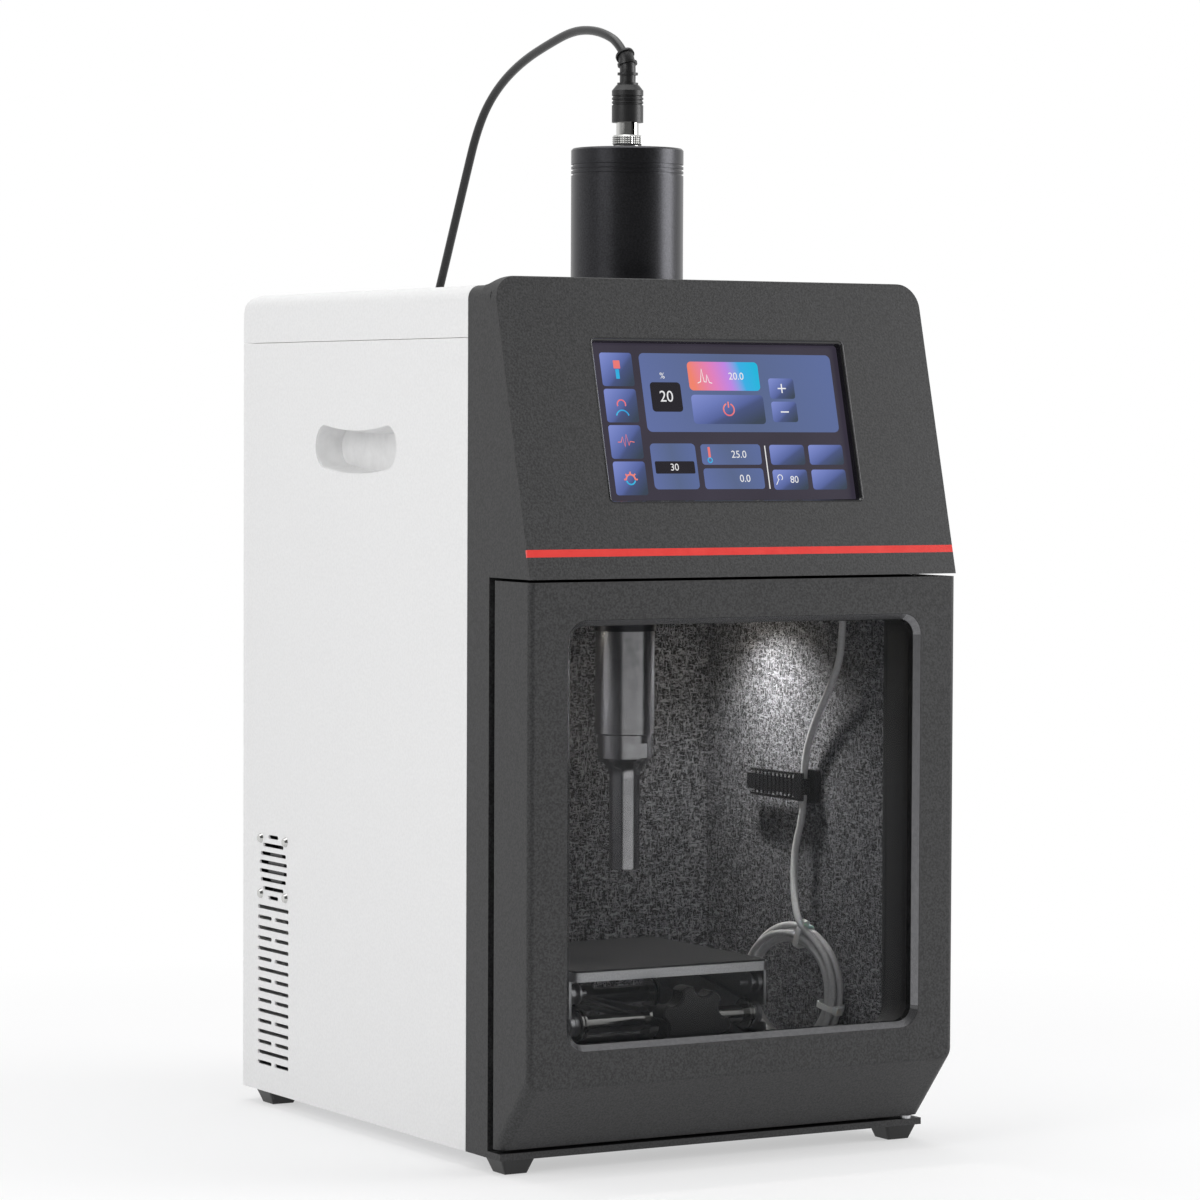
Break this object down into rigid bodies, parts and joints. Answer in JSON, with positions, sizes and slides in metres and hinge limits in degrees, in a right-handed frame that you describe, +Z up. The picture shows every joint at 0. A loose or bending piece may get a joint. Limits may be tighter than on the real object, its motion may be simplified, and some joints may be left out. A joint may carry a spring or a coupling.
{
  "type": "probe sonicator",
  "caption": "Cabinet probe sonicator: ultrasonic horn in a lit, sound-damped chamber with a glazed door, scissor jack, sloped touch screen and plugged transducer cable.",
  "frame": {"origin": "on the bench, at the bottom centre of the bounding box without the two cords and their plugs", "axes": "+X to the right for someone facing the door, +Y to the back, +Z up"},
  "size_m": [0.2682, 0.4342, 0.616],
  "materials": {
    "black_moulding": "fine matte texture",
    "white_enamel": "satin powder coat on steel sheet",
    "white_moulding": "moulded, smooth",
    "red_strip": "glossy red acrylic",
    "cover_glass": "glossy cover glass over a dark display",
    "window_acrylic": "clear acrylic with a light grey tint",
    "circuit_board": "green laminate",
    "steel_sheet": "stainless sheet",
    "jack_steel": "stainless, satin",
    "bright_steel": "polished",
    "black_felt": "sound-damping felt with pale flecks",
    "lamp_lens": "frosted lens",
    "black_rubber": "matte",
    "black_anodised": "black anodised",
    "bare_aluminium": "machined",
    "horn_metal": "turned, satin",
    "tip_metal": "turned, satin",
    "piezo_ceramic": "fired ceramic",
    "black_plastic": "moulded",
    "grey_cable": "soft sheath",
    "black_cable": "soft sheath",
    "white_nylon": "nylon"
  },
  "bodies": {
    "cabinet": {"accent_strip": "red_strip", "back_mass": "tip_metal", "base_pan": "steel_sheet", "cable_sockets": "bright_steel", "cable_ties": "white_nylon", "ceiling_grommet": "black_rubber", "chamber_box": "steel_sheet", "chamber_lamps": "lamp_lens", "chamber_liner": "black_felt", "control_board": "circuit_board", "display_module": "black_plastic", "door_magnets": "bright_steel", "fan_frames": "black_plastic", "feet": "black_rubber", "front_frame": "black_moulding", "front_mass": "bare_aluminium", "generator_board": "circuit_board", "handle_cups": "white_moulding", "heat_sink": "bare_aluminium", "hinge_pins": "jack_steel", "horn": "horn_metal", "horn_collar": "black_anodised", "jack_base": "jack_steel", "left_side_panel": "white_enamel", "panel_screws": "bright_steel", "piezo_rings": "piezo_ceramic", "plug_boots": "black_rubber", "plug_nuts": "bright_steel", "plug_shells": "bright_steel", "power_inlet": "black_plastic", "preload_bolt": "tip_metal", "probe_tip": "tip_metal", "rear_panel": "white_enamel", "right_side_panel": "white_enamel", "sensor_cable": "grey_cable", "sensor_coil": "grey_cable", "sensor_probe": "bright_steel", "top_cover": "white_enamel", "touch_screen": "cover_glass", "transducer_cable": "black_cable", "transducer_cap": "black_anodised", "transducer_housing": "black_anodised", "wall_clip": "black_plastic"},
    "door": {"door_shell": "black_moulding", "window_pane": "window_acrylic", "door_liner": "black_moulding", "door_seal": "black_rubber"},
    "left_fan": {"fan_rotor_left": "black_plastic"},
    "right_fan": {"fan_rotor_right": "black_plastic"},
    "power_switch": {"switch_rocker": "black_plastic"},
    "arm_a": {"jack_arm_a": "jack_steel"},
    "arm_b": {"jack_arm_b": "jack_steel"},
    "arm_c": {"jack_arm_c": "jack_steel"},
    "arm_d": {"jack_arm_d": "jack_steel"},
    "platform": {"jack_platform": "jack_steel", "jack_mat": "black_rubber"},
    "front_shaft": {"jack_front_shaft": "bright_steel"},
    "rear_shaft": {"jack_rear_shaft": "bright_steel"},
    "lead_screw": {"jack_screw": "bright_steel", "jack_knob": "black_plastic"}
  },
  "joints": [
    {"name": "door_hinge", "type": "hinge", "parent": "cabinet", "child": "door", "pos_m": [0.124, -0.13854, 0.16], "axis": [0, 0, 1], "range_deg": [0, 98]},
    {"name": "left_fan_spin", "type": "hinge", "parent": "cabinet", "child": "left_fan", "pos_m": [-0.1265, 0.12846, 0.138], "axis": [1, 0, 0], "continuous": true},
    {"name": "right_fan_spin", "type": "hinge", "parent": "cabinet", "child": "right_fan", "pos_m": [0.1265, 0.12846, 0.138], "axis": [1, 0, 0], "continuous": true},
    {"name": "power_rocker", "type": "hinge", "parent": "cabinet", "child": "power_switch", "pos_m": [-0.078, 0.16456, 0.0765], "axis": [0, 0, 1], "range_deg": [-16, 0]},
    {"name": "jack_knob_turn", "type": "hinge", "parent": "front_shaft", "child": "lead_screw", "pos_m": [-0.004, -0.09204, 0.06875], "axis": [0, 1, 0], "range_deg": [0, 1058]},
    {"name": "jack_arm_a_lift", "type": "hinge", "parent": "cabinet", "child": "arm_a", "pos_m": [-0.004, 0.00996, 0.0515], "axis": [-1, 0, 0], "range_deg": [0, 12.15]},
    {"name": "jack_arm_b_lift", "type": "hinge", "parent": "arm_a", "child": "arm_b", "pos_m": [-0.004, -0.04104, 0.06012], "axis": [1, 0, 0], "range_deg": [0, 24.25]},
    {"name": "jack_arm_c_lift", "type": "hinge", "parent": "arm_a", "child": "arm_c", "pos_m": [-0.004, -0.09204, 0.06875], "axis": [1, 0, 0], "range_deg": [0, 24.25]},
    {"name": "jack_arm_d_lift", "type": "hinge", "parent": "arm_b", "child": "arm_d", "pos_m": [-0.004, 0.00996, 0.06875], "axis": [-1, 0, 0], "range_deg": [0, 24.25]},
    {"name": "jack_platform_level", "type": "hinge", "parent": "arm_c", "child": "platform", "pos_m": [-0.004, 0.00996, 0.086], "axis": [-1, 0, 0], "range_deg": [0, 12.15]},
    {"name": "jack_front_shaft_level", "type": "hinge", "parent": "arm_a", "child": "front_shaft", "pos_m": [-0.004, -0.09204, 0.06875], "axis": [1, 0, 0], "range_deg": [0, 12.15]},
    {"name": "jack_rear_shaft_level", "type": "hinge", "parent": "arm_b", "child": "rear_shaft", "pos_m": [-0.004, 0.00996, 0.06875], "axis": [-1, 0, 0], "range_deg": [0, 12.15]}
  ],
  "couplings": [
    {"joint": "jack_arm_a_lift", "follows": "jack_knob_turn", "ratio": 0.011437},
    {"joint": "jack_arm_b_lift", "follows": "jack_knob_turn", "ratio": 0.022873},
    {"joint": "jack_arm_c_lift", "follows": "jack_knob_turn", "ratio": 0.022873},
    {"joint": "jack_arm_d_lift", "follows": "jack_knob_turn", "ratio": 0.022873},
    {"joint": "jack_platform_level", "follows": "jack_knob_turn", "ratio": 0.011437},
    {"joint": "jack_front_shaft_level", "follows": "jack_knob_turn", "ratio": 0.011437},
    {"joint": "jack_rear_shaft_level", "follows": "jack_knob_turn", "ratio": 0.011437}
  ]
}
